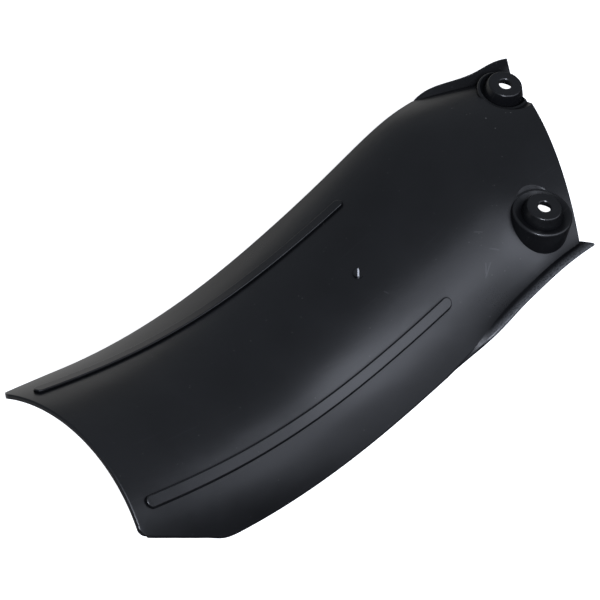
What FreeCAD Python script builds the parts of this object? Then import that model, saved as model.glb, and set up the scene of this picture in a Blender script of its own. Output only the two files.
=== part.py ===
import FreeCAD, Part
import math
import os

# Shock mud guard: one moulded sheet of black plastic, arched across its width and
# sagging along its length, with two stepped bolt bosses at its turned mounting end.
# It is drawn in its mould frame: X from the lower end to the mounting end, Z the
# direction in which the mould opens, which is also the axis of both bolt holes.
# The arched body is symmetric about Y = 0. The near side is -Y.

# Sheet
WALL = 2.3
HALF_WIDTH = 60.2
LOWER_HALF_WIDTH = 58.3
# Lines of the body: distance along X, height of the crown, radius of the arch there
BODY_LINES = [
    (0.0, 0.0, 76.0),
    (40.0, -12.7, 70.5),
    (80.0, -21.2, 70.5),
    (120.0, -22.7, 74.5),
    (160.0, -15.7, 81.5),
    (200.0, -1.7, 89.5),
    (222.0, 8.7, 92.5),
    (245.0, 17.0, 92.5),
    (270.0, 19.6, 89.0),
    (300.0, 19.4, 80.0),
    (330.0, 19.4, 73.0),
]
SECTION_STEP = 8.0

# Lower end: both sides draw in towards it, and its corners and rim are rounded
CORNER_HALF_WIDTH = 47.4
CORNER_ANGLE = 12.8
CORNER_ROUND = 6.0
RIM_ROUND = 0.7

# Mounting end: turned in plan, so the near side stops short
END_X = 291.7
END_ANGLE = 25.2
FAR_TURN_X = 266.0
FAR_TURN_ANGLE = 30.0

# Lips: the side edges at the mounting end, bent up and out
LIP_WALL = 2.0
LIP_ROOT = 3.0
LIP_RISE = 30.0
NEAR_LIP_WIDTH = 7.0
NEAR_LIP_INSET = 2.8
NEAR_LIP_TURN = 20.0
NEAR_LIP_START = 172.0
NEAR_LIP_LENGTH = 42.0
NEAR_LIP_END = 266.0
# Far lip: distance from the turn, width from the root there
FAR_LIP_LINES = [(0.0, 0.4), (7.0, 3.6), (19.0, 4.6), (28.0, 6.2), (34.0, 8.4), (43.0, 9.3), (58.0, 9.5)]
# Share of its width with which the near lip starts
LIP_LEAST = 0.05

# Stiffening ribs, one each side, raised from the outer face
RIB_OFFSET = 38.0
RIB_WIDTH = 5.0
RIB_HEIGHT = 1.4
RIB_START = 5.5
RIB_END = 196.5
RIB_ROUND = 0.5

# Bolt bosses: hollow stepped cups with a hole for an M6 bolt
BOLT_SPACING = 80.0
BOLT_LINE_TURN = 32.5
BOLT_HOLE = 6.5
HOLE_ROUND = 0.4
MOUNT_CENTRE = FreeCAD.Vector(273.9, -4.8, 18.7)
SEAT_RADIUS = 8.4
NECK_RADIUS = 10.2
NECK_HEIGHT = 4.3
NEAR_CUP_RADIUS = 14.8
FAR_CUP_RADIUS = 13.2
BOSS_WALL = 2.2
SEAT_ROUND = 1.0
CUP_ROUND = 1.2
# Drop of a shelf from its rim to the foot of the neck
SHELF_DISH = 1.6
# Width of the strip left between the recess over the near shelf and the end edge
RECESS_INSET = 4.5

# Sheared stub of the moulding gate on the crown
GATE_X = 172.0
GATE_RADIUS = 2.4
GATE_HEIGHT = 1.3
GATE_SHEAR = 1.0
GATE_TURN = -43.0

# Lean of the bolt axis towards +X when the guard lies on its side edges
REST_TILT = 13.0

# Reach of the solids that only trim others
TRIM = 400.0
# Depth of the space under the sheet that trims the bosses
UNDER_DEPTH = 45.0

ORIGIN = FreeCAD.Vector(0, 0, 0)
ALONG = FreeCAD.Vector(1, 0, 0)
ACROSS = FreeCAD.Vector(0, 1, 0)
UP = FreeCAD.Vector(0, 0, 1)
BODY_END = BODY_LINES[-1][0]
# Height of a seat over the foot of its neck
NECK_FOOT = NECK_HEIGHT + SHELF_DISH
# Half the slope, in degrees, at which the recess over a shelf opens
HALF_SLOPE = 45.0 / 2


def body_curve(column):
    """Smooth curve of one column of the body lines over X."""
    curve = Part.BSplineCurve()
    curve.interpolate([FreeCAD.Vector(line[0], 0, line[column]) for line in BODY_LINES])
    return curve


CROWN = body_curve(1)
ARCH = body_curve(2)


def parameter_at(curve, x):
    """Parameter at which a body curve reaches a distance along X."""
    low = curve.FirstParameter
    high = curve.LastParameter
    for halving in range(50):
        middle = (low + high) / 2
        if curve.value(middle).x < x:
            low = middle
        else:
            high = middle
    return (low + high) / 2


def station(x):
    """Crown point, normal of the crown and arch radius at a distance along X."""
    place = parameter_at(CROWN, x)
    normal = CROWN.tangent(place)[0].cross(ACROSS)
    radius = ARCH.value(parameter_at(ARCH, x)).z
    return CROWN.value(place), normal.normalize(), radius


def steps(start, end):
    """Evenly spread distances from start to end, no further apart than a step."""
    count = math.ceil((end - start) / SECTION_STEP)
    return [start + (end - start) * number / count for number in range(count + 1)]


def smooth_share(value, start, length):
    """Share rising from 0 at start to 1 a length further on, level at both."""
    share = min(max((value - start) / length, 0.0), 1.0)
    return share * share * (3.0 - 2.0 * share)


def half_width(x):
    """Half width of the body, drawn in at the lower end."""
    side = LOWER_HALF_WIDTH + (HALF_WIDTH - LOWER_HALF_WIDTH) * x / BODY_END
    corner = CORNER_HALF_WIDTH + x * math.tan(math.radians(CORNER_ANGLE))
    return min(side, corner)


def near_half(x):
    """Half width on the near side, drawn in where the lip takes over."""
    return half_width(x) - NEAR_LIP_INSET * smooth_share(x, NEAR_LIP_START, NEAR_LIP_LENGTH)


def arch_point(section, depth, angle):
    """Point of an arch, a depth inside the outer face, at an angle from the crown."""
    point, normal, radius = section
    spoke = ACROSS * math.sin(angle) + normal * math.cos(angle)
    return point - normal * radius + spoke * (radius - depth)


def arch_wire(section, top, bottom, near, far):
    """Closed arch section between two depths, with rounded side edges."""
    normal = section[1]
    radius = section[2]
    first = -math.asin(near / radius)
    last = math.asin(far / radius)
    crown = (first + last) / 2
    middle = (top + bottom) / 2
    reach = (bottom - top) / 2
    outward = [ACROSS * math.cos(angle) - normal * math.sin(angle) for angle in (first, last)]
    first_tip = arch_point(section, middle, first) - outward[0] * reach
    last_tip = arch_point(section, middle, last) + outward[1] * reach
    top_arc = [arch_point(section, top, angle) for angle in (first, crown, last)]
    under_arc = [arch_point(section, bottom, angle) for angle in (last, crown, first)]
    arcs = [
        top_arc,
        [top_arc[2], last_tip, under_arc[0]],
        under_arc,
        [under_arc[2], first_tip, top_arc[0]],
    ]
    return Part.Wire([Part.Arc(*arc).toShape() for arc in arcs])


def arched_solid(start, end, top, bottom, near, far):
    """Solid between two depths of the arch, with a near and a far half width over X."""
    wires = []
    for x in steps(start, end):
        wires.append(arch_wire(station(x), top, bottom, near(x), far(x)))
    return Part.makeLoft(wires, True, False)


def beyond_corner(side):
    """Space outside the rounded corner of the lower end, square to the sheet there."""
    section = station(0.0)
    angle = side * math.asin(CORNER_HALF_WIDTH / section[2])
    along = CROWN.tangent(CROWN.FirstParameter)[0]
    spoke = ACROSS * math.sin(angle) + section[1] * math.cos(angle)
    outward = (ACROSS * math.cos(angle) - section[1] * math.sin(angle)) * side
    turn = math.radians(CORNER_ANGLE)
    middle = arch_point(section, WALL / 2, angle) + along * CORNER_ROUND
    middle = middle + outward * (CORNER_ROUND * (math.tan(turn) - 1 / math.cos(turn)) + WALL / 4)
    half_turn = (math.pi / 2 - turn) / 2
    first = middle - along * CORNER_ROUND
    halfway = middle + (outward * math.sin(half_turn) - along * math.cos(half_turn)) * CORNER_ROUND
    last = middle + (outward * math.cos(turn) - along * math.sin(turn)) * CORNER_ROUND
    far_first = first - along * CORNER_ROUND
    far_last = last + outward * CORNER_ROUND
    corner = far_last - along * (2 * CORNER_ROUND)
    edges = [
        Part.Arc(first, halfway, last).toShape(),
        Part.makeLine(last, far_last),
        Part.makeLine(far_last, corner),
        Part.makeLine(corner, far_first),
        Part.makeLine(far_first, first),
    ]
    face = Part.Face(Part.Wire(edges))
    face.translate(spoke * -CORNER_ROUND)
    return face.extrude(spoke * (2 * CORNER_ROUND))


def turned_block(turn, point, inset):
    """Space on the +X side of an upright plane through a point, turned about Z."""
    block = Part.makeBox(TRIM, 2 * TRIM, TRIM, FreeCAD.Vector(-inset, -TRIM, -TRIM / 2))
    block.rotate(ORIGIN, UP, turn)
    block.translate(point)
    return block


def beyond_end(inset):
    """Space beyond the mounting end's edge, moved inwards by an inset."""
    return turned_block(-END_ANGLE, ALONG * END_X, inset)


def beyond_far():
    """Space beyond the far side where it turns in towards the mounting end."""
    point = FreeCAD.Vector(FAR_TURN_X, half_width(FAR_TURN_X), 0)
    return turned_block(90 - FAR_TURN_ANGLE, point, 0.0)


def rounded_rim(solid, point, direction):
    """Round the rim of the end face that lies in a plane."""
    for face in solid.Faces:
        if all(abs((vertex.Point - point).dot(direction)) < 0.01 for vertex in face.Vertexes):
            return solid.makeFillet(RIM_ROUND, face.Edges)
    return solid


def sheet():
    """The arched sheet, trimmed to its outline, with both end rims rounded."""
    body = arched_solid(0.0, BODY_END, 0.0, WALL, near_half, half_width)
    body = rounded_rim(body, station(0.0)[0], CROWN.tangent(CROWN.FirstParameter)[0])
    for side in (-1, 1):
        body = body.cut(beyond_corner(side))
    body = body.cut(beyond_far()).cut(beyond_end(0.0))
    turn = math.radians(END_ANGLE)
    return rounded_rim(body, ALONG * END_X, FreeCAD.Vector(math.cos(turn), -math.sin(turn), 0))


def lip_wire(root, outward, rise, width, root_half):
    """Closed section of a lip: a strip with rounded edges that thins from its root."""
    angle = math.radians(rise)
    along = outward * math.cos(angle) + UP * math.sin(angle)
    side = UP * math.cos(angle) - outward * math.sin(angle)
    half = LIP_WALL / 2
    tip = root + along * width
    edges = [
        Part.makeLine(root + side * root_half, tip + side * half),
        Part.Arc(tip + side * half, tip + along * half, tip - side * half).toShape(),
        Part.makeLine(tip - side * half, root - side * root_half),
        Part.Arc(root - side * root_half, root - along * root_half, root + side * root_half).toShape(),
    ]
    return Part.Wire(edges)


def near_lip():
    """Lip of the near side, turning up gradually out of the sheet."""
    turn = math.radians(NEAR_LIP_TURN)
    outward = FreeCAD.Vector(math.sin(turn), -math.cos(turn), 0)
    wires = []
    for x in steps(NEAR_LIP_START, NEAR_LIP_END):
        section = station(x)
        slope = math.asin(near_half(x) / section[2])
        share = smooth_share(x, NEAR_LIP_START, NEAR_LIP_LENGTH)
        root = arch_point(section, WALL / 2, -slope)
        rise = LIP_RISE * share - math.degrees(slope) * (1 - share)
        width = (NEAR_LIP_WIDTH - LIP_WALL / 2) * max(share, LIP_LEAST)
        root_half = LIP_WALL / 2 + (LIP_ROOT - LIP_WALL) / 2 * share
        wires.append(lip_wire(root, outward, rise, width, root_half))
    return Part.makeLoft(wires, True, False)


def far_lip():
    """Lip of the far side, widening towards the mounting end."""
    turn = math.radians(FAR_TURN_ANGLE)
    outward = FreeCAD.Vector(math.sin(turn), math.cos(turn), 0)
    wires = []
    for distance, width in FAR_LIP_LINES:
        section = station(FAR_TURN_X + distance)
        half = half_width(FAR_TURN_X) - distance * math.tan(turn)
        root = arch_point(section, WALL / 2, math.asin(half / section[2]))
        wires.append(lip_wire(root, outward, LIP_RISE, width, LIP_ROOT / 2))
    return Part.makeLoft(wires, True, False).cut(beyond_end(0.0))


def rib(side):
    """Straight rib with round ends, following the outer face on one side."""
    def reach(x):
        return RIB_OFFSET + 2 * RIB_WIDTH

    raised = arched_solid(0.0, RIB_END + SECTION_STEP, -RIB_HEIGHT, WALL / 2, reach, reach)
    half = RIB_WIDTH / 2
    bottom = FreeCAD.Vector(0, side * RIB_OFFSET, -TRIM / 2)
    first = bottom + ALONG * (RIB_START + half)
    last = bottom + ALONG * (RIB_END - half)
    edges = [
        Part.makeLine(first - ACROSS * half, last - ACROSS * half),
        Part.Arc(last - ACROSS * half, last + ALONG * half, last + ACROSS * half).toShape(),
        Part.makeLine(last + ACROSS * half, first + ACROSS * half),
        Part.Arc(first + ACROSS * half, first - ALONG * half, first - ACROSS * half).toShape(),
    ]
    strip = raised.common(Part.Face(Part.Wire(edges)).extrude(UP * TRIM))
    wide = sorted(strip.Faces, key=lambda face: face.Area)[-2:]
    top = max(wide, key=lambda face: face.CenterOfMass.z)
    return strip.makeFillet(RIB_ROUND, top.Edges)


def boss_centre(side):
    """Middle of a boss's seat, on the near (-1) or far (+1) side."""
    turn = math.radians(BOLT_LINE_TURN)
    line = FreeCAD.Vector(math.sin(turn), math.cos(turn), 0)
    return MOUNT_CENTRE + line * (side * BOLT_SPACING / 2)


def turned(profile, centre):
    """Solid of revolution about a boss axis, from (radius, height above the seat) points."""
    points = [FreeCAD.Vector(radius, 0, height) for radius, height in profile]
    wire = Part.makePolygon(points + points[:1])
    solid = Part.Face(wire).revolve(ORIGIN, UP, 360)
    solid.translate(centre)
    return solid


def rounded_ring(solid, radius, height, size):
    """Round the circular edge of a turned solid that has a radius and a height."""
    edges = []
    for edge in solid.Edges:
        curve = edge.Curve
        if isinstance(curve, Part.Circle) and abs(curve.Radius - radius) < 0.01:
            if abs(curve.Center.z - height) < 0.01:
                edges.append(edge)
    return solid.makeFillet(size, edges)


def neck(centre):
    """Upper step of a boss, with the seat on top."""
    foot = -NECK_FOOT - BOSS_WALL / 2
    profile = [(0, 0), (SEAT_RADIUS, 0), (NECK_RADIUS, -NECK_FOOT), (NECK_RADIUS, foot), (0, foot)]
    return rounded_ring(turned(profile, centre), SEAT_RADIUS, centre.z, SEAT_ROUND)


def cup(centre, radius):
    """Lower, wider step of a boss, standing out of the sheet."""
    profile = [(0, -NECK_HEIGHT), (radius, -NECK_HEIGHT), (radius, -UNDER_DEPTH), (0, -UNDER_DEPTH)]
    return rounded_ring(turned(profile, centre), radius, centre.z - NECK_HEIGHT, CUP_ROUND)


def recess(centre, radius):
    """Space over a boss's dished shelf, opening at 45 degrees where the sheet is higher."""
    floor = [(0, -NECK_FOOT), (NECK_RADIUS, -NECK_FOOT), (radius - CUP_ROUND, -NECK_HEIGHT)]
    slope = [(radius, -NECK_HEIGHT), (radius + 2 * NECK_HEIGHT, NECK_HEIGHT)]
    return turned(floor + slope + [(0, NECK_HEIGHT)], centre)


def dish(centre, radius):
    """Wall under a boss's shelf where the sheet is higher than the shelf."""
    edge = radius + BOSS_WALL * math.tan(math.radians(HALF_SLOPE)) - SHELF_DISH
    foot = -NECK_FOOT - BOSS_WALL
    profile = [(0, foot), (edge, foot), (edge + NECK_HEIGHT - foot, NECK_HEIGHT), (0, NECK_HEIGHT)]
    return turned(profile, centre)


def hollow_below(centre, radius):
    """Space inside a boss's lower step."""
    bore = NECK_RADIUS - BOSS_WALL
    top = -NECK_FOOT - BOSS_WALL
    wide = radius - BOSS_WALL
    profile = [(0, -NECK_FOOT), (bore, -NECK_FOOT), (bore, top), (wide, top), (wide, -UNDER_DEPTH)]
    return turned(profile + [(0, -UNDER_DEPTH)], centre).cut(beyond_end(WALL))


def hollow_above(centre):
    """Space inside a boss's upper step."""
    profile = [(0, -BOSS_WALL), (SEAT_RADIUS - BOSS_WALL, -BOSS_WALL), (NECK_RADIUS - BOSS_WALL, -NECK_FOOT)]
    return turned(profile + [(0, -NECK_FOOT)], centre)


def bolt_hole(centre):
    """Bolt hole through a seat, with a softened mouth."""
    radius = BOLT_HOLE / 2
    mouth = radius + 2 * HOLE_ROUND
    profile = [(0, HOLE_ROUND), (mouth, HOLE_ROUND), (radius, -HOLE_ROUND), (radius, -UNDER_DEPTH)]
    return turned(profile + [(0, -UNDER_DEPTH)], centre)


def under_space():
    """Space under the middle of the sheet at the mounting end."""
    def reach(x):
        return HALF_WIDTH + NECK_RADIUS / 2

    return arched_solid(MOUNT_CENTRE.x - BOLT_SPACING, BODY_END, WALL / 2, UNDER_DEPTH, reach, reach)


def gate_stub():
    """Round stub on the crown, one half sheared lower."""
    point, normal, radius = station(GATE_X)
    root = point - normal * (WALL / 2)
    stub = Part.makeCylinder(GATE_RADIUS, WALL / 2 + GATE_HEIGHT, root, normal)
    block = Part.makeBox(TRIM, TRIM, TRIM, FreeCAD.Vector(0, -TRIM / 2, 0))
    block.rotate(ORIGIN, UP, GATE_TURN)
    block.translate(point + normal * (GATE_HEIGHT - GATE_SHEAR))
    return stub.cut(block)


def with_steps(body):
    """Add the lower steps of both bosses to the sheet and open the space over their shelves."""
    under = under_space()
    for side, radius in ((-1, NEAR_CUP_RADIUS), (1, FAR_CUP_RADIUS)):
        centre = boss_centre(side)
        lower = cup(centre, radius).cut(under)
        wall = dish(centre, radius).common(under)
        for piece in (lower, wall):
            body = body.fuse(piece.cut(beyond_far()).cut(beyond_end(0.0)))
        space = recess(centre, radius)
        if side < 0:
            space = space.cut(beyond_end(RECESS_INSET))
        body = body.cut(space)
    return body


def with_bosses(body):
    """Add the upper steps of both bosses, then hollow and drill them."""
    for side, radius in ((-1, NEAR_CUP_RADIUS), (1, FAR_CUP_RADIUS)):
        centre = boss_centre(side)
        body = body.fuse(neck(centre))
        for space in (hollow_below(centre, radius), hollow_above(centre), bolt_hole(centre)):
            body = body.cut(space)
    return body


def main():
    os.makedirs("parts", exist_ok=True)
    guard = with_steps(sheet())
    for lip in (far_lip(), near_lip()):
        guard = guard.fuse(lip)
    guard = with_bosses(guard)
    for raised in (rib(-1), rib(1), gate_stub()):
        guard = guard.fuse(raised)
    guard.translate(MOUNT_CENTRE * -1)
    guard.rotate(ORIGIN, ACROSS, REST_TILT)
    guard.exportStep("parts/mud_guard.step")
    print("solids", len(guard.Solids), "valid", guard.isValid(), "volume", round(guard.Volume))


main()
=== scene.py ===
# %% [markdown]
# # A shock mud guard in black moulded plastic
# This scene dresses a finished CAD part: a thin arched sheet that keeps mud off a
# motorbike's rear shock. The CAD shape is right as it is, so it stays. Blender adds what
# CAD can't give: the finish of the plastic, its marks of use, the light and the view.

# %% Load the frame
import math
import bpy
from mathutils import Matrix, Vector


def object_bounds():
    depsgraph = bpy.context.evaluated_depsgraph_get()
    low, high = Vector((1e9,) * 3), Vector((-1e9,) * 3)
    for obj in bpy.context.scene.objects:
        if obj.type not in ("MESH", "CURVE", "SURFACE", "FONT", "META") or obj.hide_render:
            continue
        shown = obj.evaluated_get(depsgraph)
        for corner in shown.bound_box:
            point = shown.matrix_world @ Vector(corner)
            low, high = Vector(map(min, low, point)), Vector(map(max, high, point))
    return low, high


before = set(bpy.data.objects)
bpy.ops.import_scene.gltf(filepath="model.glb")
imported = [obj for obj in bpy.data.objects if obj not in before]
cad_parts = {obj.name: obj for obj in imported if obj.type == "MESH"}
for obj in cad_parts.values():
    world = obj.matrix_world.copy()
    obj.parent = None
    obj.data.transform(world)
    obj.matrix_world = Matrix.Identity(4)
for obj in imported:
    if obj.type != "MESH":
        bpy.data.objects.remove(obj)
cad_low, cad_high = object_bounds()
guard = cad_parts["mud_guard"]
print("guard faces:", len(guard.data.polygons))

# %% [markdown]
# ## Shader sums that read like sums
# A material is a net of small nodes. Wiring each one by hand hides the idea, so two small
# classes help. A Net adds any kind of node: its settings first, then the numbers or links
# of its sockets. A Signal is a socket that can be added, multiplied and so on, and each
# sum adds its own Math node. The reflected forms let a number stand first, as in
# 1 - signal.


# %% Nets and signals
class Net:
    def __init__(self, tree):
        self.tree = tree
        tree.nodes.clear()

    def node(self, kind, sockets, output=0, **settings):
        made = self.tree.nodes.new(kind)
        for name, value in settings.items():
            setattr(made, name, value)
        for name, value in sockets.items():
            if isinstance(value, Signal):
                self.tree.links.new(value.socket, made.inputs[name])
            else:
                made.inputs[name].default_value = value
        if made.outputs:
            return Signal(self, made.outputs[output])


class Signal:
    def __init__(self, net, socket):
        self.net = net
        self.socket = socket

    def sum(self, operation, first, second):
        return self.net.node("ShaderNodeMath", {0: first, 1: second}, operation=operation)

    def __add__(self, other):
        return self.sum("ADD", self, other)

    def __radd__(self, other):
        return self.sum("ADD", other, self)

    def __sub__(self, other):
        return self.sum("SUBTRACT", self, other)

    def __rsub__(self, other):
        return self.sum("SUBTRACT", other, self)

    def __mul__(self, other):
        return self.sum("MULTIPLY", self, other)

    def __abs__(self):
        return self.sum("ABSOLUTE", self, 0.0)

    def between(self, low, high):
        sockets = {"Value": self, "From Min": low, "From Max": high}
        return self.net.node("ShaderNodeMapRange", sockets, interpolation_type="SMOOTHSTEP")


# %% [markdown]
# ## Patterns that keep their place
# Every pattern is taken from the object's own coordinates, in metres, so a mark stays on
# its spot whatever the view. Noise gives soft mottling. Noise squeezed one way gives
# streaks, and a narrow band of its values gives hair-thin scratches. A single scratch that
# has to lie in one place is a stroke: near a line, and between its two ends.


# %% Pattern functions
def noise(place, scale, detail):
    sockets = {"Vector": place, "Scale": scale, "Detail": detail}
    return place.net.node("ShaderNodeTexNoise", sockets)


def streaks(place, turn, along, across, low, high):
    turned = (0.0, 0.0, math.radians(turn))
    sockets = {"Vector": place, "Rotation": turned, "Scale": (along, across, along)}
    return noise(place.net.node("ShaderNodeMapping", sockets), 1.0, 1.0).between(low, high)


def near_spot(place, spot, reach):
    sockets = {0: place, 1: spot}
    apart = place.net.node("ShaderNodeVectorMath", sockets, "Value", operation="DISTANCE")
    return 1.0 - apart.between(reach * 0.4, reach)


def stroke(x, y, start, end, width):
    length = math.dist(start, end)
    right = (end[0] - start[0]) / length
    up = (end[1] - start[1]) / length
    along = (x - start[0]) * right + (y - start[1]) * up
    across = (x - start[0]) * up - (y - start[1]) * right
    ends = along.between(-width, width) * (1.0 - along.between(length - width, length + width))
    return ends * (1.0 - abs(across).between(width * 0.3, width))


def blend(share, first, second):
    sockets = {"Factor": share, 6: first, 7: second}
    return share.net.node("ShaderNodeMix", sockets, 2, data_type="RGBA")


print("five pattern functions")

# %% [markdown]
# ## Marks of use and painted highlights
# The photo shows a part that has been handled, not one that has been ridden. There are
# three kinds of mark: faint long streaks in patches, a few nicks on the upper near flank,
# and light specks of dust that gather by the far boss. Two pale lines are painted
# highlights: a grainy pale strip along the near lip, and a pale line along the step where
# the moulding stub was sheared. The rims are rubbed a little paler too, which the mesh's pointiness
# finds.

# %% Marks
plastic = bpy.data.materials.new("black_plastic")
plastic.use_nodes = True
net = Net(plastic.node_tree)
place = net.node("ShaderNodeTexCoord", {}, "Object")
x = net.node("ShaderNodeSeparateXYZ", {0: place}, "X")
y = net.node("ShaderNodeSeparateXYZ", {0: place}, "Y")

patches = noise(place, 9.0, 2.0).between(0.45, 0.65)
long_streaks = streaks(place, 38.0, 14.0, 900.0, 0.70, 0.76) * patches
cross_streaks = streaks(place, -24.0, 22.0, 1100.0, 0.72, 0.77) * (1.0 - patches)
NICKS = [
    ((-0.0559, -0.0334), (-0.0625, -0.0367)),
    ((-0.0580, -0.0322), (-0.0612, -0.0356)),
    ((-0.0527, -0.0187), (-0.0498, -0.0214)),
    ((-0.0523, -0.0289), (-0.0491, -0.0323)),
    ((-0.1035, -0.0100), (-0.1027, -0.0124)),
]
NICK_WIDTH = 0.0004
nicks = 0.0
for start, end in NICKS:
    nicks = nicks + stroke(x, y, start, end, NICK_WIDTH)
marks = long_streaks * 0.35 + cross_streaks * 0.3 + nicks

dots = net.node("ShaderNodeTexVoronoi", {"Vector": place, "Scale": 330.0}, "Distance")
chance = noise(place, 160.0, 0.0).between(0.62, 0.68)
BY_FAR_BOSS = (0.004, 0.030, -0.006)
gathered = near_spot(place, BY_FAR_BOSS, 0.03)
specks = (1.0 - dots.between(0.05, 0.16)) * chance * (0.35 + gathered)

STUB = Vector((-0.1063, 0.0048))
SHEAR = Vector((0.684, 0.730)) * 0.0021
STUB_HIGHLIGHT_WIDTH = 0.0006
# Painted highlight: a pale line along the step where the moulding stub was sheared.
painted_stub_highlight = stroke(x, y, STUB - SHEAR, STUB + SHEAR, STUB_HIGHLIGHT_WIDTH)
rubbed = net.node("ShaderNodeNewGeometry", {}, "Pointiness").between(0.53, 0.62)
LIP_START = (-0.078, -0.0573)
LIP_END = (0.004, -0.0573)
LIP_SHADE_WIDTH = 0.011
LIP_HIGHLIGHT_WIDTH = 0.0048
# Painted shade: the sheen is turned down over the near lip's face and its crease.
lip_painted_shade = stroke(x, y, LIP_START, LIP_END, LIP_SHADE_WIDTH)
# Painted highlight: a grainy pale strip along the near lip's outer face, standing in for light
# falling on it.
painted_lip_highlight = stroke(x, y, LIP_START, LIP_END, LIP_HIGHLIGHT_WIDTH) * noise(place, 1500.0, 2.0).between(0.2, 0.6)
print("nicks:", len(NICKS))

# %% [markdown]
# ## The black plastic
# The guard is a satin black moulding. Face on it is nearly black, and it greys softly
# where it turns towards a light. The colour and the sheen both wander a little, as they
# do on plastic that cooled in a mould. Slow shallow waves and a fine skin of bumps keep
# the reflections from being too even. The roughness does most of the work: lower, and
# the guard looks wet; higher, and it looks like rubber. Inside corners are the blackest
# spots of the photo, so the sheen is turned down where the surface is closed in, which
# ambient occlusion finds. It is turned down on the face of the near lip too, and on the
# inner face of the far lip, which its normal finds.

# %% Plastic
mottle = noise(place, 28.0, 3.0)
grain = noise(place, 2400.0, 2.0)
peel = noise(place, 420.0, 2.0)
waves = noise(place, 45.0, 1.0)

deep = blend(mottle.between(0.3, 0.7), (0.0040, 0.0042, 0.0048, 1), (0.0056, 0.0058, 0.0066, 1))
worn = blend(rubbed * 0.5, deep, (0.020, 0.020, 0.022, 1))
scuffed = blend(marks * 0.2, worn, (0.06, 0.06, 0.064, 1))
dusted = blend(specks * 0.6, scuffed, (0.12, 0.118, 0.112, 1))
# The painted lip highlight is laid into the colour here.
with_lip_highlight = blend(painted_lip_highlight, dusted, (0.075, 0.077, 0.080, 1))
# The painted stub highlight is laid into the colour here.
colour = blend(painted_stub_highlight, with_lip_highlight, (0.50, 0.51, 0.53, 1))
rough = 0.24 + mottle * 0.07 + grain * 0.04 + marks * 0.1
height = waves * 3.0 + peel * 0.7 + grain * 0.3 - nicks * 0.8
skin = net.node("ShaderNodeBump", {"Strength": 0.12, "Distance": 0.0002, "Height": height})

# Painted shade: the sheen is turned down in closed-in corners and creases.
CORNER_REACH = 0.018
reach = {"Distance": CORNER_REACH}
nooks = net.node("ShaderNodeAmbientOcclusion", reach, "AO", samples=16, only_local=True)
corner_painted_shade = 1.0 - nooks.between(0.40, 0.90)
normal = net.node("ShaderNodeTexCoord", {}, "Normal")
turned_in = 0.0 - net.node("ShaderNodeSeparateXYZ", {0: normal}, "Y")
# Painted shade: the sheen is turned down on the far lip's inner face.
far_lip_painted_shade = turned_in.between(0.05, 0.3) * y.between(0.040, 0.046)
# The three painted shades together turn the sheen down.
painted_shade = (1.0 - corner_painted_shade * 0.94) * (1.0 - lip_painted_shade * 0.75) * (1.0 - far_lip_painted_shade * 0.85)
sheen = painted_shade * 0.5
finish = {
    "Base Color": colour,
    "Roughness": rough,
    "Specular IOR Level": sheen,
    "IOR": 1.49,
    "Normal": skin,
}
surface = net.node("ShaderNodeBsdfPrincipled", finish)
net.node("ShaderNodeOutputMaterial", {"Surface": surface})

guard.data.materials.clear()
guard.data.materials.append(plastic)
print("plastic nodes:", len(plastic.node_tree.nodes))

# %% [markdown]
# ## A white table
# The guard lies on a pale table that runs to plain white. Three kinds of ray see it
# differently. The camera sees it brightened to white, apart from the soft shadow by the
# part. Light that bounces sees ordinary pale paper. The plastic's reflections see a
# table that is bright on the far side and dark on the near side and past the bolts. That
# keeps the boss walls black and puts the pale edge on the far flank, as black card laid
# in a studio would.

# %% Table and surroundings
bpy.ops.object.select_all(action="DESELECT")
bpy.ops.mesh.primitive_plane_add(size=12.0, location=(0.0, 0.0, cad_low[2]))
table = bpy.context.object
table.name = "table"
paper = bpy.data.materials.new("paper")
paper.use_nodes = True
net = Net(paper.node_tree)
matt = net.node("ShaderNodeBsdfDiffuse", {"Color": (0.8, 0.8, 0.8, 1)})
lifted = net.node("ShaderNodeEmission", {"Strength": 0.85})
seen = net.node("ShaderNodeAddShader", {0: matt, 1: lifted})
spot = net.node("ShaderNodeTexCoord", {}, "Object")
far_side = net.node("ShaderNodeSeparateXYZ", {0: spot}, "Y").between(0.0, 0.12)
by_end = net.node("ShaderNodeSeparateXYZ", {0: spot}, "X").between(0.08, 0.25)
card = blend(far_side * (1.0 - by_end), (0.05, 0.05, 0.05, 1), (1, 1, 1, 1))
mirrored = net.node("ShaderNodeEmission", {"Color": card, "Strength": 0.45})
is_glossy = net.node("ShaderNodeLightPath", {}, "Is Glossy Ray")
is_camera = net.node("ShaderNodeLightPath", {}, "Is Camera Ray")
unseen = net.node("ShaderNodeMixShader", {0: is_glossy, 1: matt, 2: mirrored})
surface = net.node("ShaderNodeMixShader", {0: is_camera, 1: unseen, 2: seen})
net.node("ShaderNodeOutputMaterial", {"Surface": surface})
table.data.materials.append(paper)

world = bpy.data.worlds.new("studio")
bpy.context.scene.world = world
world.use_nodes = True
net = Net(world.node_tree)
surround = net.node("ShaderNodeBackground", {"Color": (0.86, 0.93, 1.05, 1), "Strength": 0.25})
net.node("ShaderNodeOutputWorld", {"Surface": surround})
print("table at", round(cad_low[2], 4))

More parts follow.
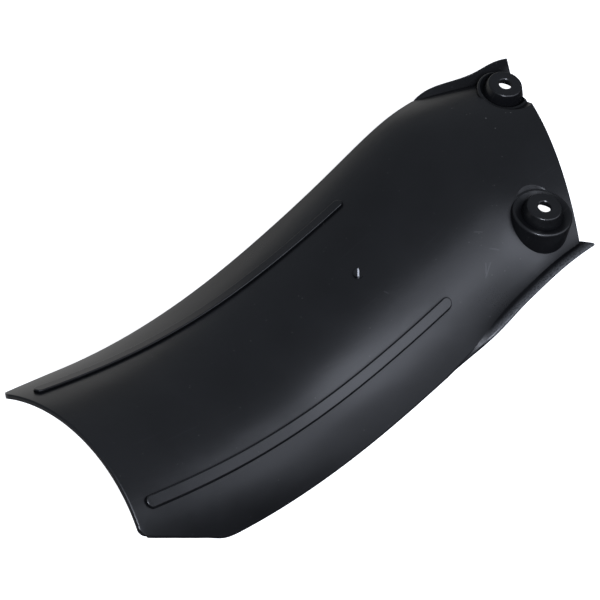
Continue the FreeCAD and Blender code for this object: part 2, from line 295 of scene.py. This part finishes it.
# %% [markdown]
# ## Soft boxes
# Black plastic shows its shape by what it mirrors. One soft box high on the near side lays
# the broad pale band along that flank. Two low ones carry the band down to the lower
# corner. A weak one above them lifts the rise towards the bosses. A small strong one near
# the camera is mirrored by no broad surface, so it only draws the rims and the rib ends.
# All of them aim at the middle of the part, and their cool tint is the photo's.

# %% Lights
AIM = Vector((-0.12, 0.005, 0.0))
BOX_DISTANCE = 1.4
COOL = (0.92, 0.97, 1.11)
LIGHTS = [
    ("near_high", -57.0, 49.0, 0.7, 4.8),
    ("near_right", -40.0, 22.0, 0.7, 2.1),
    ("near_low", -70.0, 20.0, 0.7, 0.7),
    ("by_camera", -122.0, 50.0, 0.3, 15.0),
    ("near_top", -75.0, 70.0, 0.6, 1.3),
]


def soft_box(name, turn, rise, size, watts):
    turn = math.radians(turn)
    rise = math.radians(rise)
    level = math.cos(rise)
    towards = Vector((level * math.cos(turn), level * math.sin(turn), math.sin(rise)))
    where = AIM + towards * BOX_DISTANCE
    bpy.ops.object.select_all(action="DESELECT")
    bpy.ops.object.light_add(type="AREA", location=where)
    lamp = bpy.context.object
    lamp.name = name
    lamp.rotation_euler = (AIM - where).to_track_quat("-Z", "Y").to_euler()
    lamp.data.size = size
    lamp.data.energy = watts
    lamp.data.color = COOL


for setting in LIGHTS:
    soft_box(*setting)
print("lights:", len(LIGHTS))

# %% [markdown]
# ## The camera
# A long lens looks down on the near side from the lower end, a little over a metre away.
# The lens shift sets the part in the frame as the photo has it, without turning the
# camera off its line.

# %% Camera
TARGET = Vector((-0.1209, 0.0048, 0.0246))
VIEW = Vector((-0.355, -0.379, 0.8545)).normalized()
CAMERA_DISTANCE = 1.2098
bpy.ops.object.select_all(action="DESELECT")
bpy.ops.object.camera_add(location=TARGET + VIEW * CAMERA_DISTANCE)
camera = bpy.context.object
camera.rotation_euler = (-VIEW).to_track_quat("-Z", "Y").to_euler()
camera.data.lens = 157.5
camera.data.sensor_width = 36.0
camera.data.shift_x = -0.0597
camera.data.shift_y = -0.0717
bpy.context.scene.camera = camera
bpy.context.scene.view_settings.view_transform = "Standard"
print("camera at", [round(value, 3) for value in camera.location])
